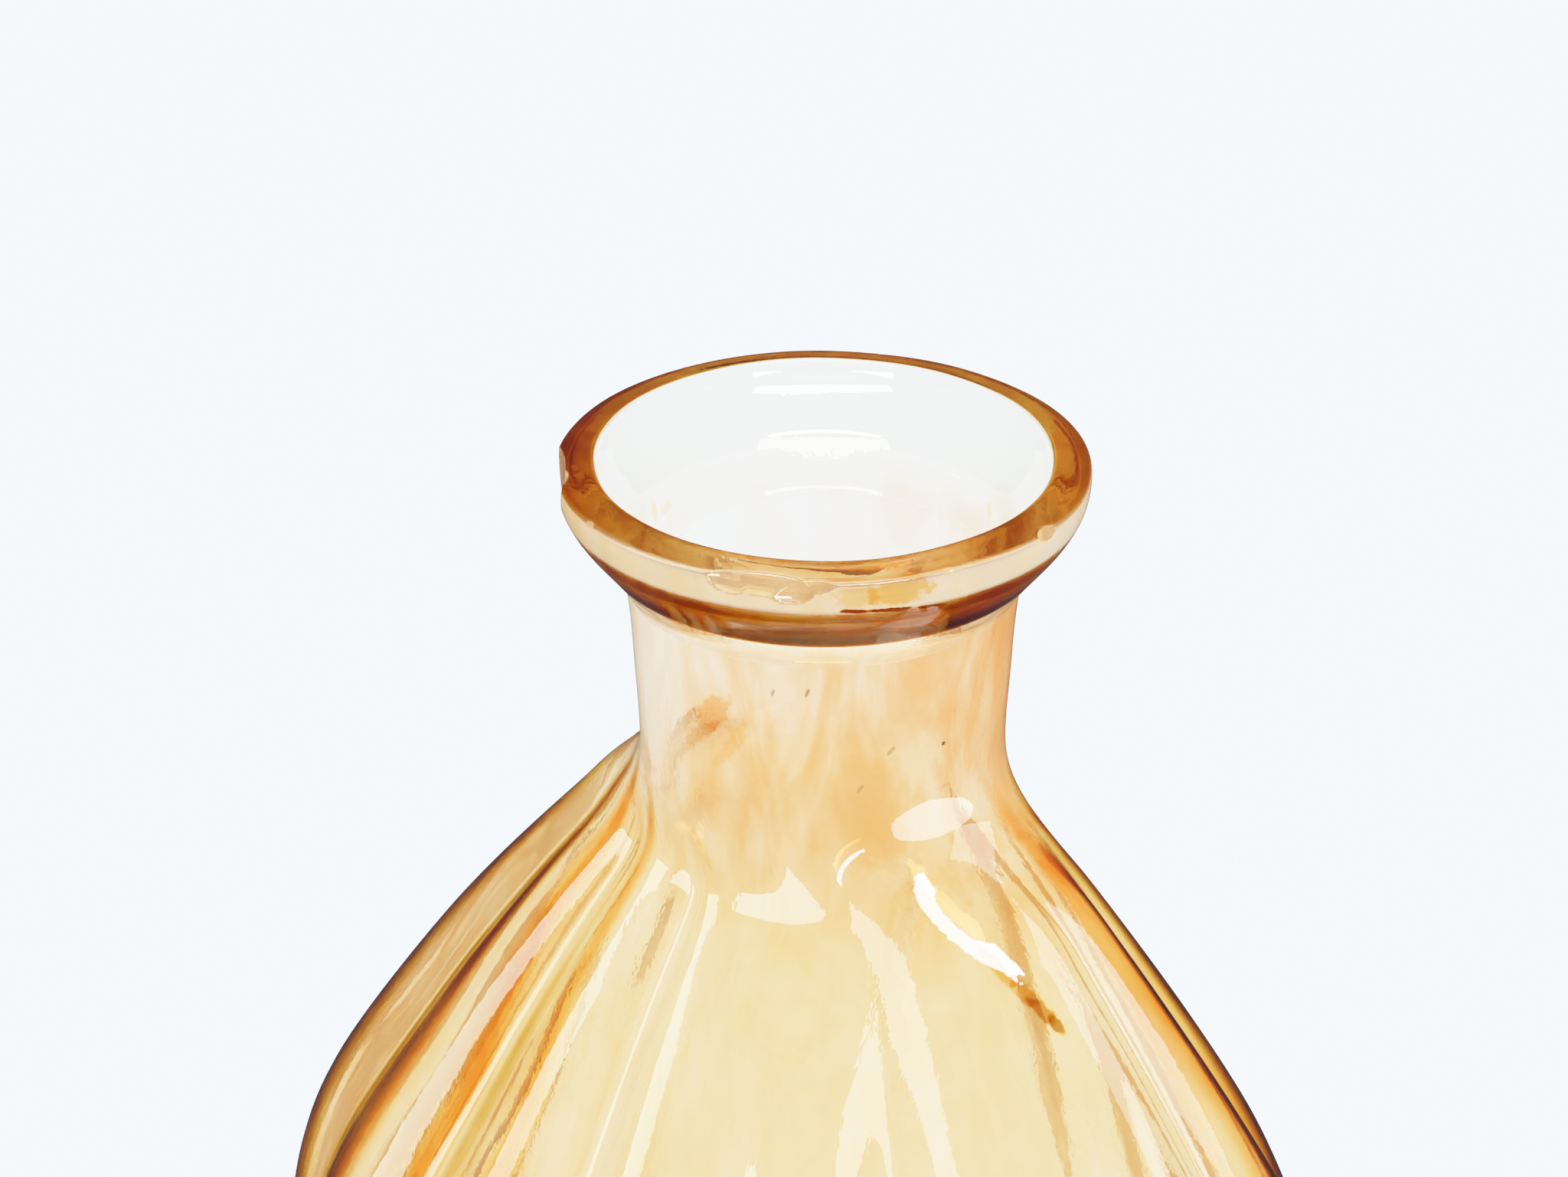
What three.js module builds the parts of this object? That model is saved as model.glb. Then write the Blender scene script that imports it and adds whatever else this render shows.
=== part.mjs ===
import * as THREE from "three";

// Carafe of ribbed blown glass: a round flared mouth and neck on an oval, lobed body.
// Millimetres, +Z up, the origin at the middle of the base; the long axis of the oval body lies along X.

// ---- driving dimensions (mm) ----
const HEIGHT = 171; // base to the top of the lip
const LIP_OD = 48; // widest point of the lip
const MOUTH_D = 41; // inner edge of the lip's top face
const THROAT_D = 30.2; // narrowest bore, just under the flare
const LIP_HEIGHT = 12; // lip top to the line where it meets the neck
const SEAM_GAP = 0.3; // clearance kept between lip and neck
const NECK_TOP_D = 35.7; // neck outside, under the lip
const NECK_BASE_D = 33.2; // neck outside, where it meets the shoulder
const NECK_BASE_Z = 140; // height of that line
const BELLY_R = 53; // mean radius at the widest level
const BELLY_Z = 62; // height of the widest level
const OVAL = 0.25; // half axes are mean radius x (1 +- OVAL)
const OVAL_START_Z = 143; // section is round above this
const OVAL_FULL_Z = 131; // and fully oval below this
const LOBES = 14; // lobes around the body
const LOBE_PHASE = 0.2; // first groove, in lobe widths from +X
const GROOVE_DEPTH = 2.4; // depth of the grooves between lobes at the belly
const WALL = 2.1; // glass left under a groove at the shoulder
const WALL_BELLY = 2.9; // and at the belly
const NECK_WALL = 2.2; // neck wall
const FOOT_R = 30; // mean radius of the outer edge of the resting ring
const FOOT_RING = 6; // width of the flat resting ring
const PUSH_UP = 5; // rise of the underside at the axis
const FLOOR = 6; // thickness of the bottom at the axis
const STEPS_PER_LOBE = 6; // facets across one lobe

const SEGMENTS = LOBES * STEPS_PER_LOBE;

// ---- section: an oval cut into lobes of equal arc length ----
const smooth = (x) => {
  const s = Math.min(1, Math.max(0, x));
  return s * s * (3 - 2 * s);
};
const ovalAt = (z) => OVAL * smooth((OVAL_START_Z - z) / (OVAL_START_Z - OVAL_FULL_Z));

// Parameter angles on the oval (1 + e, 1 - e) that part its edge into equal lengths.
const arcTable = new Map();
function equalArcAngles(e) {
  const key = e.toFixed(5);
  if (arcTable.has(key)) return arcTable.get(key);
  const fine = 2880,
    run = [0];
  for (let i = 1; i <= fine; i++) {
    const a = ((i - 1) / fine) * 2 * Math.PI,
      b = (i / fine) * 2 * Math.PI;
    run.push(
      run[i - 1] +
        Math.hypot((1 + e) * (Math.cos(b) - Math.cos(a)), (1 - e) * (Math.sin(b) - Math.sin(a))),
    );
  }
  const angles = [];
  let i = 0;
  for (let j = 0; j < SEGMENTS; j++) {
    const want = (((j / STEPS_PER_LOBE + LOBE_PHASE) / LOBES) % 1) * run[fine];
    if (j && want < run[i]) i = 0;
    while (run[i + 1] < want) i++;
    angles.push((2 * Math.PI * (i + (want - run[i]) / (run[i + 1] - run[i]))) / fine);
  }
  arcTable.set(key, angles);
  return angles;
}

// One ring of points: mean radius r at height z, with grooves cut to the given depth.
function ring(r, z, e, groove) {
  return equalArcAngles(e).map((t, j) => {
    const across = (2 * (j % STEPS_PER_LOBE)) / STEPS_PER_LOBE - 1; // -1 and 1 in a groove, 0 on a crest
    const cut = groove * Math.pow(Math.abs(across), 2.2);
    const n = new THREE.Vector2(Math.cos(t) / (1 + e), Math.sin(t) / (1 - e)).normalize();
    return [r * (1 + e) * Math.cos(t) - n.x * cut, r * (1 - e) * Math.sin(t) - n.y * cut, z];
  });
}

// Skins a list of rings. With caps the first and last rings close on axis points; without, the last joins the first.
function skin(rings, caps) {
  const points = [],
    faces = [];
  rings.forEach((q) => points.push(...q));
  const id = (i, j) => i * SEGMENTS + (j % SEGMENTS);
  const bands = caps ? rings.length - 1 : rings.length;
  for (let i = 0; i < bands; i++)
    for (let j = 0; j < SEGMENTS; j++) {
      const k = (i + 1) % rings.length;
      faces.push(id(i, j), id(i, j + 1), id(k, j + 1), id(i, j), id(k, j + 1), id(k, j));
    }
  if (caps) {
    const first = points.push([0, 0, caps[0]]) - 1,
      last = points.push([0, 0, caps[1]]) - 1,
      top = rings.length - 1;
    for (let j = 0; j < SEGMENTS; j++) {
      faces.push(first, id(0, j + 1), id(0, j));
      faces.push(last, id(top, j), id(top, j + 1));
    }
  }
  const g = new THREE.BufferGeometry();
  g.setAttribute("position", new THREE.Float32BufferAttribute(points.flat(), 3));
  g.setIndex(faces);
  g.computeVertexNormals();
  return g;
}

// ---- outer profile of the body: [height, mean radius on the lobe crests] ----
const NECK_TOP_Z = HEIGHT - LIP_HEIGHT - SEAM_GAP;
const OUTER_POINTS = [
  [0.9, FOOT_R + 1.1],
  [3, FOOT_R + 2.9],
  [8, FOOT_R + 5.6],
  [15, FOOT_R + 9.3],
  [25, FOOT_R + 14.2],
  [36, BELLY_R - 4.4],
  [48, BELLY_R - 1.2],
  [BELLY_Z, BELLY_R],
  [72, BELLY_R - 0.7],
  [82, BELLY_R - 2.7],
  [94, BELLY_R - 7.4],
  [104, BELLY_R - 12.3],
  [113, BELLY_R - 17.7],
  [122, BELLY_R - 23.9],
  [130, BELLY_R - 29.8],
  [134, 20.3],
  [137, 18.1],
  [NECK_BASE_Z, NECK_BASE_D / 2 + 0.2],
  [144, NECK_BASE_D / 2 + 0.05],
  [152, (NECK_BASE_D + NECK_TOP_D) / 4],
  [NECK_TOP_Z, NECK_TOP_D / 2],
];
// A smooth curve through those points (monotone cubic), read at any height.
const crest = (z) => {
  const P = OUTER_POINTS,
    n = P.length;
  let k = 0;
  while (k < n - 2 && z > P[k + 1][0]) k++;
  const step = (i) => (P[i + 1][1] - P[i][1]) / (P[i + 1][0] - P[i][0]);
  const slope = (i) => {
    if (i === 0) return step(0);
    if (i === n - 1) return step(n - 2);
    const a = step(i - 1),
      b = step(i);
    return a * b <= 0 ? 0 : (2 * a * b) / (a + b);
  };
  const [z0, r0] = P[k],
    [z1, r1] = P[k + 1],
    h = z1 - z0,
    t = Math.min(1, Math.max(0, (z - z0) / h));
  return (
    r0 * (1 + 2 * t) * (1 - t) ** 2 +
    h * slope(k) * t * (1 - t) ** 2 +
    r1 * t * t * (3 - 2 * t) +
    h * slope(k + 1) * t * t * (t - 1)
  );
};
const OUTER = [
  0.9, 3, 8, 15, 24, 34, 44, 54, 63, 72, 81, 89, 97, 104, 110, 116, 121, 126, 130, 133.5, 136.5, 139.5, 143, 151,
  NECK_TOP_Z,
].map((z) => [z, crest(z)]);
// Grooves fade in below the neck and out towards the foot.
const grooveAt = (z) => GROOVE_DEPTH * smooth((NECK_BASE_Z - z) / 34) * (0.25 + 0.75 * smooth(z / 40));

// ---- inner profile, mouth to floor: the outer crest line less the wall and the groove ----
const INNER = [
  [NECK_TOP_Z, THROAT_D / 2],
  [152, THROAT_D / 2 - 0.35],
  [144, NECK_BASE_D / 2 - NECK_WALL + 0.1],
  [138, NECK_BASE_D / 2 - NECK_WALL + 0.2],
];
for (const z of [133, 127, 119, 108, 96, 82, 66, 50, 36, 24]) {
  const slope = (crest(z + 3) - crest(z - 3)) / 6,
    wall = WALL + (WALL_BELLY - WALL) * smooth((112 - z) / 40),
    thick = (wall + grooveAt(z)) * Math.hypot(1, slope);
  INNER.push([z, crest(z) - thick]);
}
INNER.push([17, crest(17) - 7.2], [13, crest(13) - 12], [11.3, 18]);

// ---- pieces ----
const carafe = new THREE.Group();
carafe.name = "carafe";

const bodyRings = [
  ring((FOOT_R - FOOT_RING) * 0.55, PUSH_UP * 0.72, OVAL, 0),
  ring(FOOT_R - FOOT_RING - 1.5, 0.8, OVAL, 0),
  ring(FOOT_R - FOOT_RING, 0, OVAL, 0),
  ring(FOOT_R, 0, OVAL, 0),
  ...OUTER.map(([z, r]) => ring(r, z, ovalAt(z), grooveAt(z))),
  ...INNER.map(([z, r]) => ring(r, z, ovalAt(z), 0)),
];
const body = new THREE.Mesh(
  skin(bodyRings, [PUSH_UP, PUSH_UP + FLOOR]),
  new THREE.MeshStandardMaterial({ color: 0xeec27a, roughness: 0.05, transparent: true, opacity: 0.45 }),
);
body.name = "blown_body";
carafe.add(body);

const SEAM_Z = HEIGHT - LIP_HEIGHT;
const LIP = [
  [NECK_TOP_D / 2, SEAM_Z],
  [18.6, SEAM_Z + 1.4],
  [19.85, SEAM_Z + 3],
  [21.5, SEAM_Z + 5],
  [22.95, SEAM_Z + 7.1],
  [23.7, SEAM_Z + 8.6],
  [LIP_OD / 2, SEAM_Z + 10.2],
  [LIP_OD / 2 - 0.2, SEAM_Z + 11.1],
  [23.1, HEIGHT - 0.45],
  [21.8, HEIGHT - 0.1],
  [MOUTH_D / 2, HEIGHT],
  [19.9, HEIGHT - 0.35],
  [18.7, HEIGHT - 1.5],
  [17.1, HEIGHT - 3.1],
  [15.7, HEIGHT - 4.6],
  [15.05, HEIGHT - 5.7],
  [THROAT_D / 2, HEIGHT - 7.2],
  [THROAT_D / 2, SEAM_Z],
];
const lip = new THREE.Mesh(
  skin(LIP.map(([r, z]) => ring(r, z, 0, 0)), null),
  new THREE.MeshStandardMaterial({ color: 0xb06a1a, roughness: 0.05, transparent: true, opacity: 0.7 }),
);
lip.name = "lip_ring";
carafe.add(lip);

export default carafe;
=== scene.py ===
import math

import bpy
import numpy as np
from mathutils import Matrix, Vector


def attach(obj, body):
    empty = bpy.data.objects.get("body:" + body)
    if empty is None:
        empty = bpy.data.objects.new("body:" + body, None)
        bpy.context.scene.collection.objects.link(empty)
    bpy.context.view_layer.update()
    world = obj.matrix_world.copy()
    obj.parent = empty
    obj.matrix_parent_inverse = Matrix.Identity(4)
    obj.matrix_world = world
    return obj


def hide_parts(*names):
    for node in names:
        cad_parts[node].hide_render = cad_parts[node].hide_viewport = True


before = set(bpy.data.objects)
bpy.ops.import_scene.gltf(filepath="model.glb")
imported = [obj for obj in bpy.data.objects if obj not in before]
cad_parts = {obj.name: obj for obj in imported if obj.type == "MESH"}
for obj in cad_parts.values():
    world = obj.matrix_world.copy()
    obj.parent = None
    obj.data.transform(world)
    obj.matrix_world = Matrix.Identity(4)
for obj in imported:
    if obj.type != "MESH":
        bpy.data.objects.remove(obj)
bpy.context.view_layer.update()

MM = 0.001

# ------------------------------------------------------------------ sizes (mm)
HEIGHT = 171.0
SEAM_Z = 159.0            # line where the lip meets the neck
SEAM_GAP = 0.03
OVAL = 0.25               # half axes are mean radius x (1 +- OVAL)
OVAL_START_Z, OVAL_FULL_Z = 144.0, 130.0
LOBES = 14
LOBE_PHASE = 0.2
GROOVE = 2.4
STEPS = 22                # facets across one lobe
SEG = LOBES * STEPS
LIP_SEG = 560
rng = np.random.default_rng(11)


def smoother(x):
    t = np.clip(x, 0.0, 1.0)
    return t * t * t * (t * (6 * t - 15) + 10)


def spline(xs, ys):
    """Natural cubic spline through points with rising xs."""
    xs, ys = np.asarray(xs, float), np.asarray(ys, float)
    n = len(xs)
    h = np.diff(xs)
    a = np.zeros((n, n))
    b = np.zeros(n)
    a[0, 0] = a[-1, -1] = 1
    for i in range(1, n - 1):
        a[i, i - 1], a[i, i], a[i, i + 1] = h[i - 1], 2 * (h[i - 1] + h[i]), h[i]
        b[i] = 6 * ((ys[i + 1] - ys[i]) / h[i] - (ys[i] - ys[i - 1]) / h[i - 1])
    m = np.linalg.solve(a, b)

    def at(x):
        x = np.asarray(x, float)
        k = np.clip(np.searchsorted(xs, x) - 1, 0, n - 2)
        d, e = xs[k + 1] - x, x - xs[k]
        return (
            m[k] * d**3 / (6 * h[k])
            + m[k + 1] * e**3 / (6 * h[k])
            + (ys[k] / h[k] - m[k] * h[k] / 6) * d
            + (ys[k + 1] / h[k] - m[k + 1] * h[k] / 6) * e
        )

    return at


def curve(points, count, bend=0.0):
    """A smooth plane curve through points, sampled evenly along its length, or more closely where it bends."""
    p = np.asarray(points, float)
    c = np.concatenate([[0], np.cumsum(np.hypot(*np.diff(p, axis=0).T))])
    fx, fy = spline(c, p[:, 0]), spline(c, p[:, 1])
    t = np.linspace(0, c[-1], 4000)
    x, y = fx(t), fy(t)
    s = np.concatenate([[0], np.cumsum(np.hypot(np.diff(x), np.diff(y)))])
    turn = np.abs(np.gradient(np.unwrap(np.arctan2(np.gradient(y), np.gradient(x))), s))
    run = np.concatenate([[0], np.cumsum(np.diff(s) * (1 + bend * np.minimum(turn, 4.0))[1:])])
    u = np.interp(np.linspace(0, run[-1], count), run, t)
    return np.stack([fx(u), fy(u)], 1)


# ------------------------------------------------------------------ sections
def oval_at(z):
    return OVAL * smoother((OVAL_START_Z - z) / (OVAL_START_Z - OVAL_FULL_Z))


def groove_at(z):
    return GROOVE * smoother((134.0 - z) / 42.0) * (0.25 + 0.75 * smoother(z / 40.0))


def flank_at(z):
    """On the two ends of the oval the grooves run on up to the neck."""
    return 1.25 * smoother((140.5 - z) / 15.0) * smoother((z - 92.0) / 34.0)


def lean_at(z):
    """How far the shoulder stands to one side of the neck, as blown by hand."""
    return 1.35 * smoother((141.0 - z) / 13.0) * smoother((z - 84.0) / 26.0)


LEAN = (math.cos(math.radians(43.3)), math.sin(math.radians(43.3)))
FINE = np.linspace(0, 2 * np.pi, 2881)


def ring(r, z, depth, soft=0.14, power=2.0, flank=0.0):
    """One section of the body: an oval parted into lobes of equal length; flank deepens the grooves to the left and right."""
    e = float(oval_at(z))
    x, y = (1 + e) * np.cos(FINE), (1 - e) * np.sin(FINE)
    run = np.concatenate([[0], np.cumsum(np.hypot(np.diff(x), np.diff(y)))])
    j = np.arange(SEG)
    u = (j % STEPS) / STEPS
    u = u - 0.6 / (2 * np.pi) * np.sin(2 * np.pi * u)      # facets lie closer along the grooves
    part = ((j // STEPS + u + LOBE_PHASE) / LOBES) % 1.0
    t = np.interp(part * run[-1], run, FINE)
    across = np.abs(2 * u - 1)
    off = np.sqrt((1 - across) ** 2 + soft**2)
    top = np.sqrt(1 + soft**2)
    ends = np.cos(np.arctan2((1 - e) * np.sin(t), (1 + e) * np.cos(t)) - math.radians(43.3)) ** 2
    cut = (depth + flank * smoother((ends - 0.15) / 0.55)) * np.clip(1 - off / top, 0, 1) ** power / (1 - soft / top) ** power
    nx, ny = np.cos(t) / (1 + e), np.sin(t) / (1 - e)
    ln = np.hypot(nx, ny)
    return np.stack(
        [
            r * (1 + e) * np.cos(t) - nx / ln * cut + LEAN[0] * lean_at(z),
            r * (1 - e) * np.sin(t) - ny / ln * cut + LEAN[1] * lean_at(z),
            np.full(SEG, z),
        ],
        1,
    )


def skin(rings, caps=None):
    """Quads between rings; with caps the ends close on axis points, else the last ring joins the first."""
    n, s = len(rings), len(rings[0])
    verts = np.concatenate(rings)
    j = np.arange(s)
    k = (j + 1) % s
    quads = []
    for i in range(n - 1 if caps is not None else n):
        a, b = i * s, ((i + 1) % n) * s
        quads.append(np.stack([a + j, a + k, b + k, b + j], 1))
    faces = [tuple(f) for f in np.concatenate(quads).tolist()]
    if caps is not None:
        verts = np.concatenate([verts, [[0, 0, caps[0]], [0, 0, caps[1]]]])
        first, last, top = n * s, n * s + 1, (n - 1) * s
        faces += [(first, int(b), int(a)) for a, b in zip(j, k)]
        faces += [(last, int(top + a), int(top + b)) for a, b in zip(j, k)]
    return verts, faces


def mesh_object(name, verts, faces):
    me = bpy.data.meshes.new(name)
    me.from_pydata((np.asarray(verts) * MM).tolist(), [], faces)
    me.validate()
    me.shade_smooth()
    me.set_sharp_from_angle(angle=math.radians(55))
    ob = bpy.data.objects.new(name, me)
    bpy.context.scene.collection.objects.link(ob)
    return ob


# ------------------------------------------------------------------ body profile
OUTER = spline(
    [3, 8, 15, 25, 36, 48, 62, 72, 82, 94, 104, 113, 122, 130, 134, 137, 140, 144, 150, 156, SEAM_Z],
    [32.9, 35.6, 39.3, 44.2, 48.6, 51.8, 53.0, 52.3, 50.3, 45.6, 40.7, 35.3, 29.1, 23.2, 20.2, 18.2, 17.05, 16.75, 17.1, 17.5, 17.85],
)


def wall_at(z):
    return 2.1 + 0.8 * smoother((112 - z) / 40)


def body_rings():
    under = curve([(1.2, 5.0), (8, 4.6), (16, 3.0), (21.5, 1.1), (24.0, 0.12)], 26)
    foot = np.array([(24.6, 0.0), (25.6, 0), (27.2, 0), (28.8, 0), (29.6, 0.02)])
    heel = curve([(30.1, 0.12), (31.0, 0.75), (31.9, 1.7), (32.9, 3.0)], 8)
    zs = np.concatenate([np.linspace(3.6, 100, 62), np.linspace(101, SEAM_Z - SEAM_GAP, 74)])
    out = [ring(r, z, 0.6 * z if z < 0.5 else min(0.6, groove_at(z))) for r, z in heel]
    rings = [ring(r, z, 0) for r, z in under] + [ring(r, z, 0) for r, z in foot] + out
    rings += [ring(float(OUTER(z)), z, float(groove_at(z)), flank=float(flank_at(z))) for z in zs]
    seam_from = len(rings) - 1
    # end face of the neck, then the inner wall down to the bottom
    ztop = SEAM_Z - SEAM_GAP
    rings += [ring(r, ztop, 0) for r in (16.9, 15.9)]
    inner = [(ztop, 15.1), (157, 14.98), (152, 14.8), (147, 14.55), (143.5, 14.45), (140.5, 14.6)]
    zi = [137, 133, 128, 122, 115, 107, 98, 88, 76, 63, 50, 38, 28, 21.5]
    for z in zi:
        slope = float(OUTER(z + 1.5) - OUTER(z - 1.5)) / 3
        inner.append((z, float(OUTER(z)) - (wall_at(z) + float(groove_at(z))) * math.hypot(1, slope)))
    inner += [(17.3, 33.0), (14.2, 28.0), (12.6, 21.5), (11.6, 12.0), (11.2, 2.0)]
    path = curve([(r, z) for z, r in inner], 132)
    rings += [ring(r, z, 0.75 * float(groove_at(z)), soft=0.25, power=2.0, flank=0.6 * float(flank_at(z))) for r, z in path]
    return rings, seam_from


rings, seam_from = body_rings()
verts, faces = skin(rings, (5.05, 11.18))
body = mesh_object("carafe_body", verts, faces)

# ------------------------------------------------------------------ lip profile
LIP_OUT = [
    (17.85, SEAM_Z), (18.12, 159.6), (18.55, 160.3), (19.15, 161.1), (19.85, 162.0), (20.65, 163.0), (21.5, 164.05), (22.3, 165.1),
    (22.95, 166.1), (23.4, 166.95), (23.68, 167.6), (23.87, 168.3), (23.98, 169.0), (24.0, 169.7), (23.93, 170.12), (23.7, 170.36), (23.35, 170.46),
    (22.6, 170.62), (21.6, 170.82), (20.95, 170.95), (20.68, 170.95), (20.47, 170.8), (20.36, 170.55),
    (20.0, 170.0), (19.3, 169.0), (18.4, 167.95), (17.4, 166.95), (16.4, 166.1), (15.65, 165.25), (15.28, 164.3), (15.14, 163.2), (15.1, 161.6), (15.1, SEAM_Z),
]
lip_path = np.concatenate([curve(LIP_OUT, 164, 0.9), [(15.9, SEAM_Z), (16.9, SEAM_Z)]])
ang = np.arange(LIP_SEG) * 2 * np.pi / LIP_SEG
lip_rings = [np.stack([r * np.cos(ang), r * np.sin(ang), np.full(LIP_SEG, z)], 1) for r, z in lip_path]
lverts, lfaces = skin(lip_rings)


def chip(v, turn, out, z, lift, size, depth):
    """Bites a shallow shell-shaped flake out of the lip; lift is the tilt of the bite, in degrees above level."""
    a, b = math.radians(turn), math.radians(lift)
    way = np.array([math.cos(a) * math.cos(b), math.sin(a) * math.cos(b), math.sin(b)])
    c = np.array([out * math.cos(a), out * math.sin(a), z]) + way * (size - depth)
    d = v - c
    ln = np.linalg.norm(d, axis=1)
    hit = ln < size
    v[hit] = c + d[hit] / ln[hit, None] * size
    return hit


def uneven(a, *waves):
    return sum(amp * np.sin(n * a + ph) for n, amp, ph in waves)


# a hand-finished rim: a little out of true, and flaked along its edge
turned = np.arctan2(lverts[:, 1], lverts[:, 0])
rim = smoother((lverts[:, 2] - 164.0) / 5.0) * smoother((np.hypot(lverts[:, 0], lverts[:, 1]) - 17.0) / 4.0)
lverts[:, 2] += rim * (uneven(turned, (2, 0.05, 0.6), (5, 0.03, 2.0), (9, 0.02, 4.1)) - 0.06)
swell = 1 + rim * uneven(turned, (3, 0.0010, 1.0), (7, 0.0008, 0.3), (13, 0.0005, 2.2)) - 0.0016 * rim
lverts[:, 0] *= swell
lverts[:, 1] *= swell
chipped = np.zeros(len(lverts), bool)
for flake in (
    (227.0, 23.9, 169.3, 4, 22.0, 0.85), (231.5, 23.9, 170.0, 50, 4.0, 0.45), (224.0, 23.9, 170.1, 55, 3.0, 0.3),
    (301.0, 23.9, 170.1, 32, 26.0, 0.75), (294.0, 23.9, 169.7, 20, 6.0, 0.5), (306.5, 23.9, 169.5, 10, 7.0, 0.45), (312.0, 23.9, 169.9, 30, 5.0, 0.3),
    (7.7, 23.85, 170.2, 40, 2.4, 0.4), (340.0, 23.9, 170.25, 45, 1.6, 0.2), (255.0, 23.9, 170.25, 45, 1.5, 0.2), (120.0, 23.9, 170.2, 40, 2.0, 0.25),
):
    chipped |= chip(lverts, *flake)
lip = mesh_object("carafe_lip", lverts, lfaces)


def seam_attribute(ob, z, tol):
    """Marks the faces where lip and neck are fused, so that light runs straight on through them."""
    at = ob.data.attributes.new("seam", "FLOAT", "FACE")
    out = np.zeros(len(ob.data.polygons), np.float32)
    for i, p in enumerate(ob.data.polygons):
        if abs(p.center.z - z * MM) < tol * MM and abs(p.normal.z) > 0.98:
            out[i] = 1.0
    at.data.foreach_set("value", out)


seam_attribute(body, SEAM_Z - SEAM_GAP, 0.02)
seam_attribute(lip, SEAM_Z, 0.02)


def spread(ob, name, values):
    """film: lustre at each point; rich: what it gains seen aslant; frost: how frosted the glass is, which along the
    front of the lip's outer band is partly a painted highlight.
    """
    at = ob.data.attributes.new(name, "FLOAT", "POINT")
    at.data.foreach_set("value", np.asarray(values, np.float32).reshape(-1))


VIEW_AZ = math.radians(43.3)          # to the right, seen from the front
FACE_AZ = math.radians(-46.7)         # the side turned to the front
NECK_AZ = math.radians(-14.0)          # side of the neck where the lustre lies thickest


def lustre(p):
    """Amount of lustre on the outside of the body: even on the bowl, thick on one side of the neck."""
    up = smoother((p[:, 2] - 126.0) / 22.0)
    az = np.arctan2(p[:, 1], p[:, 0])
    turned = 0.5 + 0.5 * np.cos(az - NECK_AZ)
    across = np.sin(az - FACE_AZ)
    pooled = 1.6 * smoother((34.0 - p[:, 2]) / 34.0)
    foot = 1.3 * np.exp(-(((p[:, 2] - 135.5) / 7.0) ** 2)) * smoother((np.cos(az - FACE_AZ) - 0.2) / 0.7)
    return (1 - up) * (3.0 + pooled - 0.45 * across**2) + up * (1.0 + 3.5 * turned) + foot


co_body = np.asarray(verts)
on_outside = np.zeros(len(co_body))
outer = slice(31 * SEG, (seam_from + 1) * SEG)
# on the two ends of the oval the lustre has run down in thick streaks: (place in lobes from the first groove, half width, film, rich)
j_at = np.arange((seam_from + 1) * SEG)[outer] % SEG
u_at = (j_at % STEPS) / STEPS
u_at = u_at - 0.6 / (2 * np.pi) * np.sin(2 * np.pi * u_at)
lobe_at, z_at = j_at // STEPS + u_at, co_body[outer, 2]
from_groove = 1 - np.abs(2 * u_at - 1)
run_film, run_rich = np.zeros(len(lobe_at)), np.zeros(len(lobe_at))
drift = 0.22 * smoother((128.0 - z_at) / 26.0)
for place, width, more_film, more_rich in (
    (8.20 + drift, 0.08, 6.5, 18.0), (8.68 + drift, 0.08, 9.5, 18.0), (9.0 + drift, 0.28, 1.6, 0.0), (9.31 + drift, 0.08, 6.5, 8.0),
    (1.0 - 0.36 * smoother((z_at - 106.0) / 22.0), 0.22, 6.5, 30.0), (0.52, 0.13, 3.5, 28.0), (1.27, 0.22, 3.0, 26.0),
    (7.1, 0.16, 2.5, 6.0), (2.1, 0.16, 2.5, 6.0), (5.9, 0.16, 1.5, 4.0),
):
    there = np.exp(-(((lobe_at - place) / width) ** 2)) * smoother((142.5 - z_at) / 9.0) * smoother(z_at / 60.0)
    run_film += more_film * there
    run_rich += more_rich * there
on_outside[outer] = lustre(co_body[outer]) + run_film
spread(body, "film", on_outside)
aslant = np.zeros(len(co_body))
aslant[outer] = 33.0 * smoother((140.0 - co_body[outer, 2]) / 20.0) * (1 - 0.55 * np.exp(-((from_groove / 0.32) ** 2))) + run_rich
spread(body, "rich", aslant)
spread(body, "frost_and_highlight", np.zeros(len(co_body)))
spread(body, "warm", smoother((co_body[:, 2] - 126.0) / 20.0))

def along_lip(*stops):
    """A value along the lip's section, from values at points of it."""
    at = [(int(np.argmin(np.hypot(lip_path[:, 0] - r, lip_path[:, 1] - z))), a) for r, z, a in stops]
    at.sort()
    return np.interp(np.arange(len(lip_path)), [k for k, _ in at], [a for _, a in at])


# on the lip: rich on the flat rim and underneath, frosted in the flakes, clear inside; along the outer band, on the
# side turned to the front only, frosted and lustred, partly a painted highlight in place of the pale band that the
# front lights give
on_rim = along_lip((23.95, 170.05, 0.0), (23.6, 170.4, 1.0), (20.95, 170.95, 1.0), (20.55, 170.87, 0.3), (20.4, 170.65, 0.0))
band_frost_and_highlight = along_lip((23.45, 167.05, 0.0), (23.7, 167.65, 1.0), (24.0, 169.7, 1.0), (23.8, 170.3, 0.0))
under = along_lip((19.95, 162.1, 0.0), (20.4, 162.7, 2.1), (20.8, 163.2, 2.0), (21.5, 164.05, 1.3), (22.6, 165.6, 0.8), (23.2, 166.5, 0.65), (23.55, 167.3, 0.0))
fillet = along_lip((17.85, 159.0, 1.0), (19.2, 161.1, 0.5), (20.2, 162.4, 0.0))
side = np.cos(ang - FACE_AZ)
ones = np.ones(LIP_SEG)
across = np.sin(ang - FACE_AZ)
rich = np.outer(on_rim, 15.5 + (1 - side**2) * (1.5 - 4.5 * across)) + np.outer(under, 15.0 + 20.0 * side**2)
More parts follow.
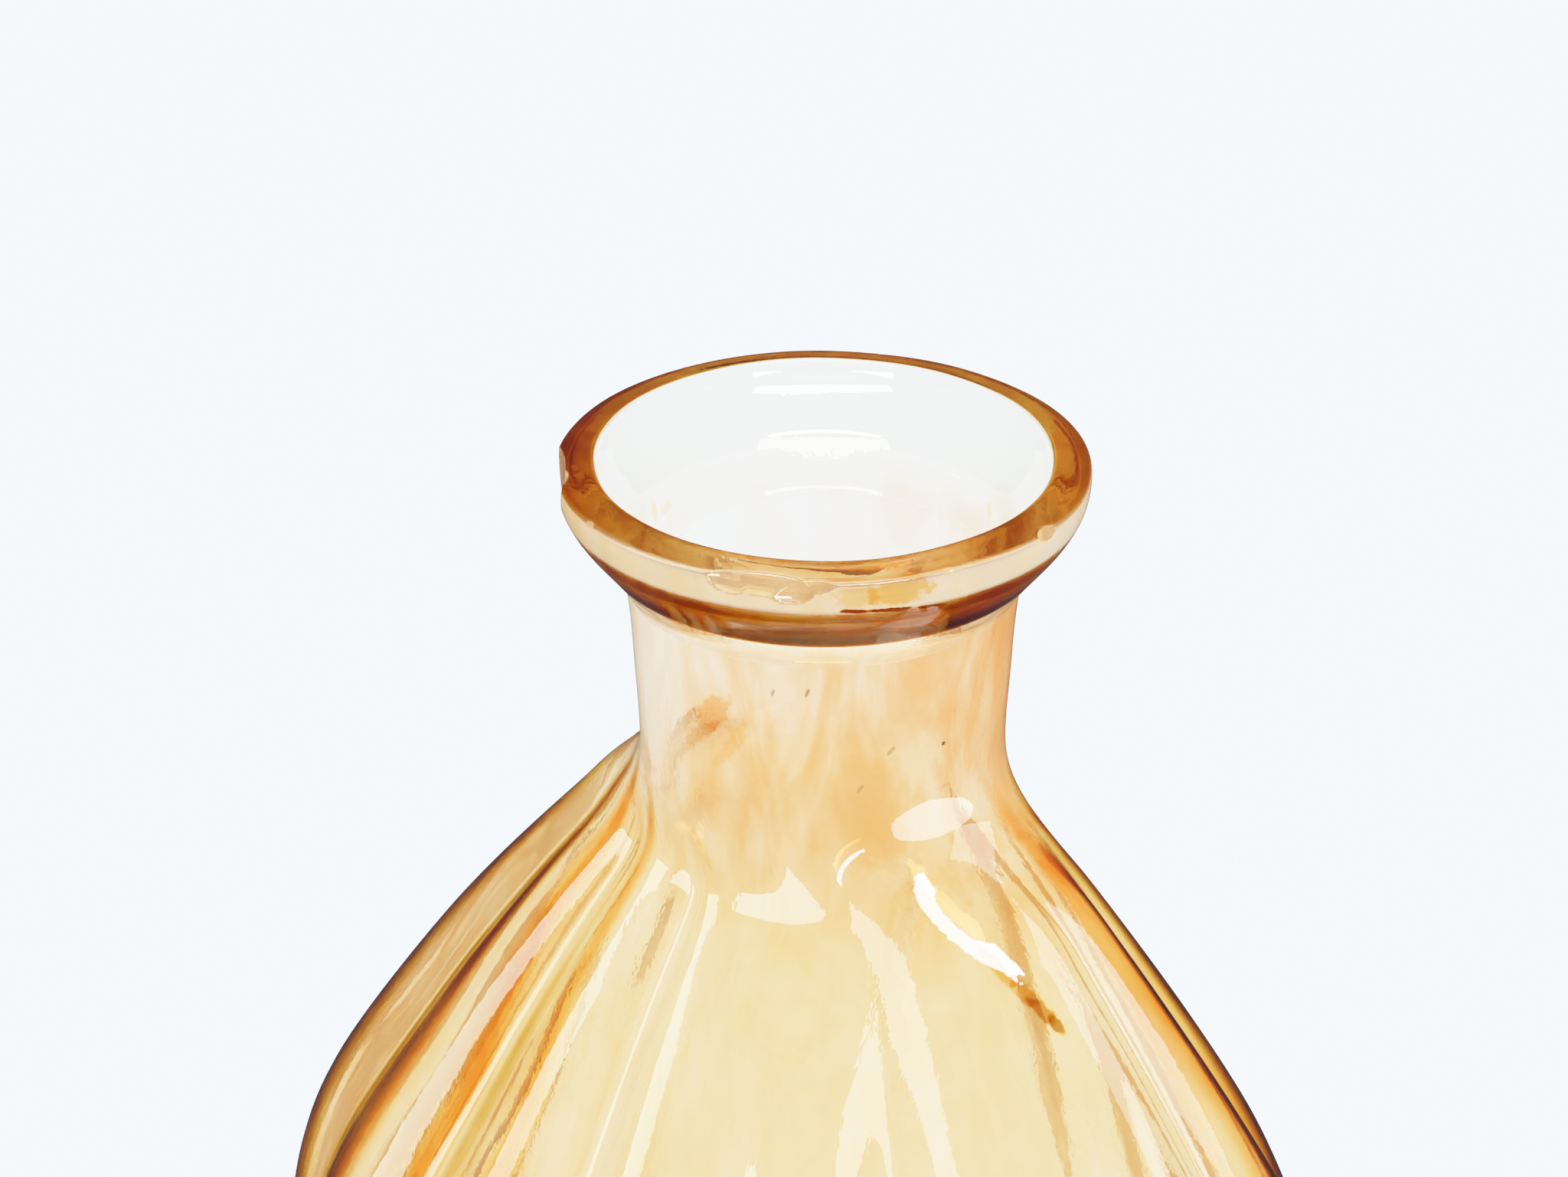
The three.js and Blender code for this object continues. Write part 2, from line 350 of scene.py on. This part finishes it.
# the band is frosted and lustred only on the side turned to the front: a frosted finish that also stands in as a
# painted highlight of the pale band there
front = smoother((side + 0.25) / 0.5)
frost_and_highlight = np.outer(band_frost_and_highlight, (0.50 + 0.06 * across) * front)
film = np.outer(band_frost_and_highlight, (2.0 - 0.5 * across) * front) + np.outer(fillet, 0.9 + 3.2 * (0.5 + 0.5 * np.cos(ang - NECK_AZ)))
rich, frost_and_highlight, film = rich.reshape(-1), frost_and_highlight.reshape(-1), film.reshape(-1)
rich[chipped], frost_and_highlight[chipped], film[chipped] = 0.0, 0.18, 2.4
spread(lip, "film", film)
spread(lip, "warm", np.outer(np.minimum(1.0, 2.0 * fillet), ones))
spread(lip, "rich", rich)
spread(lip, "frost_and_highlight", frost_and_highlight)


# ------------------------------------------------------------------ glass
def amber_glass(name, taken, lustre_takes, aslant_takes, aslant_from, aslant_to, marks, stains):
    """Glass that takes up blue and green light with depth, under an orange lustre where the film attribute says so.

    taken: per mm of glass, of red, green, blue; lustre_takes, aslant_takes: the same for one unit of film and of rich;
    aslant_from, aslant_to: how far from facing the rich colour sets in; marks: small blemishes as (place, turn, half sizes, depth);
    stains: thicker lustre as (place, turn, half sizes, film, rich).
    """
    m = bpy.data.materials.new(name)
    m.use_nodes = True
    nt = m.node_tree
    nt.nodes.clear()
    link = nt.links.new

    def node(kind, **inputs):
        n = nt.nodes.new(kind)
        for k, v in inputs.items():
            n.inputs[k].default_value = v
        return n

    def attribute(which):
        n = node("ShaderNodeAttribute")
        n.attribute_name = which
        return n.outputs["Fac"]

    def math_node(kind, *values):
        n = node("ShaderNodeMath")
        n.operation = kind
        for k, v in enumerate(values):
            if isinstance(v, (int, float)):
                n.inputs[k].default_value = v
            else:
                link(v, n.inputs[k])
        return n.outputs[0]

    def remap(value, a, b, c, d, kind="LINEAR"):
        n = node("ShaderNodeMapRange")
        n.interpolation_type = kind
        for k, v in zip(("From Min", "From Max", "To Min", "To Max"), (a, b, c, d)):
            n.inputs[k].default_value = v
        link(value, n.inputs["Value"])
        return n.outputs[0]

    def noise(stretch, **inputs):
        n = node("ShaderNodeTexNoise", **inputs)
        if stretch:
            run = node("ShaderNodeMapping")
            run.inputs["Scale"].default_value = stretch
            link(where.outputs["Object"], run.inputs["Vector"])
            link(run.outputs[0], n.inputs["Vector"])
        else:
            link(where.outputs["Object"], n.inputs["Vector"])
        return n.outputs["Fac"]

    out = node("ShaderNodeOutputMaterial")
    p = node("ShaderNodeBsdfPrincipled")
    where = node("ShaderNodeTexCoord")
    film, gain, ground_and_highlight, seam = attribute("film"), attribute("rich"), attribute("frost_and_highlight"), attribute("seam")
    warm = remap(attribute("warm"), 0.0, 1.0, 0.80, 1.0)      # the lustre is yellower on the bowl, pinker on the neck
    # streaks that run down the wall
    streak = noise((1.0, 1.0, 0.28), Scale=150.0, Detail=4.0, Roughness=0.6, Distortion=0.8)
    ragged = remap(streak, 0.36, 0.66, -0.38, 0.42, "SMOOTHSTEP")
    uneven = math_node("MULTIPLY_ADD", ragged, remap(attribute("warm"), 0.0, 1.0, 0.35, 1.0), 1.0)
    facing = node("ShaderNodeLayerWeight", Blend=0.5)
    steep = remap(facing.outputs["Facing"], aslant_from, aslant_to, 0.0, 1.0, "SMOOTHSTEP")
    thick = math_node("MULTIPLY", math_node("MULTIPLY", film, uneven), math_node("SUBTRACT", 1.0, seam))
    deep = math_node("MULTIPLY", math_node("MULTIPLY", gain, steep), uneven)
    ripple = noise(None, Scale=900.0, Detail=2.0, Roughness=0.6)

    def blot(place, turn, half, rough):
        """1 inside a small ellipsoid with a ragged edge, 0 outside."""
        at = node("ShaderNodeMapping")
        at.vector_type = "TEXTURE"
        x, y, z = place
        x, y = x + LEAN[0] * float(lean_at(z)), y + LEAN[1] * float(lean_at(z))
        at.inputs["Location"].default_value = (x * MM, y * MM, z * MM)
        at.inputs["Rotation"].default_value = [math.radians(v) for v in turn]
        at.inputs["Scale"].default_value = [v * MM for v in half]
        link(where.outputs["Object"], at.inputs["Vector"])
        far = node("ShaderNodeVectorMath")
        far.operation = "LENGTH"
        link(at.outputs[0], far.inputs[0])
        edge = math_node("MULTIPLY_ADD", math_node("SUBTRACT", ripple, 0.5), rough, far.outputs["Value"])
        return remap(edge, 0.6, 1.0, 1.0, 0.0, "SMOOTHSTEP")

    # blemishes: short scratches, specks and rubbed streaks, and spots where the lustre is thicker
    clean = None
    for place, turn, half, depth in marks:
        left = math_node("MULTIPLY_ADD", blot(place, turn, half, 0.3), -depth, 1.0)
        clean = left if clean is None else math_node("MULTIPLY", clean, left)
    for place, turn, half, more_film, more_rich in stains:
        spot = blot(place, turn, half, 1.6)
        thick = math_node("MULTIPLY_ADD", spot, more_film, thick)
        deep = math_node("MULTIPLY_ADD", spot, more_rich, deep)
    tint = node("ShaderNodeCombineColor")
    for k in range(3):
        lost = math_node("MULTIPLY_ADD", deep, aslant_takes[k], math_node("MULTIPLY", math_node("MULTIPLY", thick, warm) if k == 1 else thick, lustre_takes[k]))
        rest = math_node("POWER", 1 / math.e, lost)
        if clean is not None:
            rest = math_node("MULTIPLY", rest, clean)
        link(rest, tint.inputs[k])
    link(tint.outputs[0], p.inputs["Base Color"])
    # the lustre is a little milky, in soft clouds
    veil = remap(noise(None, Scale=38.0, Detail=2.0, Roughness=0.5), 0.25, 0.75, 0.015, 0.045)
    # frosting makes the glass milky; on the front of the lip's outer band this frosting is partly a painted highlight
    dull = math_node("ADD", math_node("MULTIPLY", film, veil), ground_and_highlight)
    link(math_node("SUBTRACT", 1.0, dull), p.inputs["Transmission Weight"])
    # a hand-worked skin: slightly wavy, with faint rubbed patches
    rubbed = noise(None, Scale=160.0, Detail=3.0, Roughness=0.6)
    link(remap(rubbed, 0.35, 0.8, 0.0, 0.05), p.inputs["Roughness"])
    wavy = noise((1.0, 1.0, 0.5), Scale=260.0, Detail=4.0, Roughness=0.6)
    bump = node("ShaderNodeBump", Strength=0.8, Distance=0.00005)
    link(wavy, bump.inputs["Height"])
    link(bump.outputs[0], p.inputs["Normal"])
    link(remap(seam, 0.0, 1.0, 1.5, 1.0), p.inputs["IOR"])
    clear = nt.nodes.new("ShaderNodeBsdfTransparent")
    clear.inputs["Color"].default_value = (1, 1, 1, 1)
    path = nt.nodes.new("ShaderNodeLightPath")
    spread = nt.nodes.new("ShaderNodeMixShader")
    nt.links.new(path.outputs["Is Diffuse Ray"], spread.inputs[0])
    nt.links.new(p.outputs[0], spread.inputs[1])
    nt.links.new(clear.outputs[0], spread.inputs[2])
    mix = nt.nodes.new("ShaderNodeMixShader")
    nt.links.new(path.outputs["Is Shadow Ray"], mix.inputs[0])
    nt.links.new(spread.outputs[0], mix.inputs[1])
    nt.links.new(clear.outputs[0], mix.inputs[2])
    nt.links.new(mix.outputs[0], out.inputs["Surface"])
    vol = nt.nodes.new("ShaderNodeVolumeAbsorption")
    most = max(taken)
    vol.inputs["Color"].default_value = (*[1 - t / most for t in taken], 1)
    vol.inputs["Density"].default_value = most / MM
    nt.links.new(vol.outputs[0], out.inputs["Volume"])
    return m


BOWL_DEPTHS = (0.0028, 0.0052, 0.0085)
LIP_DEPTHS = (0.010, 0.028, 0.056)
LUSTRE = (0.012, 0.232, 0.478)
BOWL_ASLANT = (0.120, 0.195, 0.52)
LIP_ASLANT = (0.115, 0.235, 0.58)
MARKS = [
    ((16.88, -2.27, 148.96), (0, 0, 0), (0.5, 0.28, 0.28), 0.95),
    ((8.46, -15.32, 156.0), (0, 18, 0), (0.16, 0.5, 0.55), 0.75),
    ((11.01, -13.64, 156.28), (0, 20, 0), (0.16, 0.5, 0.6), 0.8),
    ((15.37, -7.46, 149.71), (0, 25, 0), (0.16, 0.6, 0.7), 0.6),
    ((13.77, -9.69, 146.14), (0, 25, 0), (0.15, 0.6, 0.6), 0.55),
    ((29.64, -5.05, 128.0), (0, 42, 18), (2.0, 0.9, 0.5), 0.45),
    ((31.1, -4.5, 126.75), (0, 42, 18), (1.1, 0.8, 0.45), 0.55),
]
STAINS = [
    ((2.62, -17.05, 152.4), (0, 38, 0), (1.5, 2.0, 3.0), 3.2, 0.0),
    ((4.7, -16.6, 149.9), (0, 30, 0), (0.9, 2.0, 3.6), 1.6, 0.0),
    ((25.0, -6.15, 131.93), (0, 42, 14), (1.5, 0.9, 0.6), 3.2, 0.6),
    ((26.5, -5.9, 130.7), (0, 42, 14), (1.8, 1.2, 0.7), 4.2, 1.2),
    ((28.1, -5.55, 129.3), (0, 42, 16), (1.9, 1.1, 0.7), 4.6, 1.6),
    ((29.7, -5.05, 127.95), (0, 42, 18), (1.8, 1.1, 0.7), 5.0, 2.4),
    ((31.1, -4.5, 126.75), (0, 42, 20), (1.1, 0.8, 0.5), 5.0, 3.4),
]
LIP_STAINS = [
    ((18.4, -15.2, 169.1), (0, 0, 50), (2.2, 1.2, 1.4), 1.5, 0.0),
    ((20.5, -12.4, 169.1), (0, 0, 59), (3.4, 1.2, 1.6), 2.8, 0.0),
    ((18.2, -15.1, 167.45), (0, 3, 50), (1.8, 0.9, 0.28), 2.0, 16.0),
    ((20.0, -12.55, 167.3), (0, 4, 58), (2.4, 0.9, 0.30), 2.0, 18.0),
    ((21.5, -9.4, 167.0), (0, 5, 66), (2.0, 0.9, 0.24), 2.0, 14.0),
    ((-12.2, -9.2, 164.1), (0, 0, 0), (1.4, 1.4, 1.2), 3.4, 0.0),
    ((-13.8, -6.2, 163.1), (0, 0, 0), (0.9, 1.6, 0.9), 2.2, 0.0),
    ((9.0, 12.3, 163.9), (0, 0, 0), (1.3, 1.3, 0.9), 2.6, 0.0),
]
body.data.materials.append(amber_glass("lustre_glass", BOWL_DEPTHS, LUSTRE, BOWL_ASLANT, 0.60, 0.96, MARKS, STAINS))
lip.data.materials.append(amber_glass("lip_glass", LIP_DEPTHS, LUSTRE, LIP_ASLANT, 0.30, 0.62, [], LIP_STAINS))
for ob in (body, lip):
    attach(ob, "root")
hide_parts("blown_body")
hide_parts("lip_ring")

# ------------------------------------------------------------------ floor and light
bpy.ops.mesh.primitive_plane_add(size=60, location=(0, 0, -0.0002))
floor = bpy.context.object
floor.name = "floor"
floor.visible_glossy = False
fm = bpy.data.materials.new("floor")
fm.use_nodes = True
fp = fm.node_tree.nodes["Principled BSDF"]
fp.inputs["Base Color"].default_value = (0.84, 0.92, 0.99, 1)
fp.inputs["Roughness"].default_value = 0.9
fp.inputs["Specular IOR Level"].default_value = 0.1
floor.data.materials.append(fm)

world = bpy.data.worlds.new("studio")
bpy.context.scene.world = world
world.use_nodes = True
wn = world.node_tree
wn.nodes.clear()
wo = wn.nodes.new("ShaderNodeOutputWorld")
bg = wn.nodes.new("ShaderNodeBackground")
co = wn.nodes.new("ShaderNodeTexCoord")
sep = wn.nodes.new("ShaderNodeSeparateXYZ")
ramp = wn.nodes.new("ShaderNodeValToRGB")
wn.links.new(co.outputs["Generated"], sep.inputs[0])
wn.links.new(sep.outputs["Z"], ramp.inputs["Fac"])
ramp.color_ramp.elements[0].position = 0.0
ramp.color_ramp.elements[0].color = (0.93, 1.0, 1.05, 1)
ramp.color_ramp.elements[1].position = 1.0
ramp.color_ramp.elements[1].color = (1.09, 1.17, 1.23, 1)
mid = ramp.color_ramp.elements.new(0.5)
mid.color = (1.0, 1.08, 1.13, 1)
wn.links.new(ramp.outputs["Color"], bg.inputs["Color"])
# mirrored in the glass, the tent is dimmer than it looks through it, so the soft lights stand out in the gloss
seen = wn.nodes.new("ShaderNodeLightPath")
dim = wn.nodes.new("ShaderNodeMapRange")
dim.inputs["To Min"].default_value = 1.0
dim.inputs["To Max"].default_value = 0.03
glossy = wn.nodes.new("ShaderNodeMath")
glossy.operation = "SUBTRACT"
wn.links.new(seen.outputs["Is Reflection Ray"], glossy.inputs[0])
wn.links.new(seen.outputs["Is Diffuse Ray"], glossy.inputs[1])
wn.links.new(glossy.outputs[0], dim.inputs["Value"])
wn.links.new(dim.outputs[0], bg.inputs["Strength"])
wn.links.new(bg.outputs[0], wo.inputs["Surface"])


def softbox(name, az, el, dist, w, h, power, colour=(1, 1, 1)):
    """A rectangular soft light; az is turned from the photographed side, to its right."""
    a, e = VIEW_AZ + math.radians(az), math.radians(el)
    back = Vector((math.sin(a) * math.cos(e), -math.cos(a) * math.cos(e), math.sin(e)))
    light = bpy.data.lights.new(name, "AREA")
    light.shape = "RECTANGLE"
    light.size, light.size_y = w, h
    light.energy = power
    light.color = colour
    ob = bpy.data.objects.new(name, light)
    ob.location = Vector((0, 0, 0.12)) + back * dist
    ob.rotation_mode = "QUATERNION"
    ob.rotation_quaternion = (-back).to_track_quat("-Z", "Y")
    ob.visible_diffuse = False
    ob.visible_camera = False
    bpy.context.scene.collection.objects.link(ob)
    return ob


bowl = bpy.data.collections.new("bowl_light")
bowl.objects.link(body)
softbox("front_top", 0, 58, 1.2, 1.2, 0.20, 14.0)
softbox("front_low", 0, 6, 1.2, 0.7, 0.07, 2.2)
WARM = (1.0, 0.97, 0.90)
for light in (
    softbox("left_low", -56, -15, 1.0, 0.62, 0.46, 5.0, WARM),
    softbox("left_tall", -92, -3, 1.0, 0.32, 0.45, 2.2, (0.86, 1.0, 0.80)),
    softbox("front_left", -28, 28, 1.0, 0.21, 0.65, 2.1, WARM),
    softbox("right_strip", 43, 52, 1.0, 0.10, 0.16, 1.6),
    softbox("right", 95, 32, 1.2, 0.6, 0.62, 4.4, WARM),
    softbox("right_low", 67, -2, 1.0, 1.15, 0.90, 16.0, WARM),
):
    light.light_linking.receiver_collection = bowl
    light.visible_transmission = False
bpy.data.lights["right_low"].shape = "ELLIPSE"

# ------------------------------------------------------------------ camera
D, ELEV, FOCAL = 0.450, math.radians(25.9), 6590.6
aim = Vector((0, 0, 0.170))
right = Vector((math.cos(VIEW_AZ), math.sin(VIEW_AZ), 0))
away = Vector((-math.sin(VIEW_AZ), math.cos(VIEW_AZ), 0))
fwd = away * math.cos(ELEV) - Vector((0, 0, 1)) * math.sin(ELEV)
upv = right.cross(fwd)
place = aim - fwd * D
# the lip's centre sits left of and above the middle of the frame by these pixels
ray = (fwd * FOCAL + right * (1024 - 1075) - upv * (768.5 - 606)).normalized()
cam = bpy.data.cameras.new("camera")
cam_ob = bpy.data.objects.new("camera", cam)
bpy.context.scene.collection.objects.link(cam_ob)
cam.sensor_width = 36.0
cam.lens = math.hypot(FOCAL, 51, 162.5) / 2048 * 36.0
cam.clip_start, cam.clip_end = 0.01, 100
cam_ob.location = place
cam_ob.rotation_mode = "QUATERNION"
cam_ob.rotation_quaternion = ray.to_track_quat("-Z", "Y")
bpy.context.scene.camera = cam_ob

scene = bpy.context.scene
scene.view_settings.view_transform = "Standard"
scene.view_settings.look = "None"
scene.view_settings.exposure = 0.0
scene.view_settings.gamma = 1.0
# a high-key exposure with a soft shoulder, as a bright light tent gives
EXPOSE = 2.8
scene.view_settings.use_curve_mapping = True
tone = scene.view_settings.curve_mapping
tone.clip_max_x = 4.0
tone.clip_max_y = 1.0
shoulder = tone.curves[3]
shoulder.points[1].location = (4.0, 1 - math.exp(-EXPOSE * 4.0))
for x in (0.03, 0.07, 0.13, 0.22, 0.34, 0.5, 0.7, 0.95, 1.3, 1.8, 2.6):
    shoulder.points.new(x, 1 - math.exp(-EXPOSE * x))
tone.update()
scene.cycles.max_bounces = 160
scene.cycles.transmission_bounces = 160
scene.cycles.glossy_bounces = 160
scene.cycles.transparent_max_bounces = 64
scene.cycles.caustics_refractive = False
scene.cycles.caustics_reflective = False
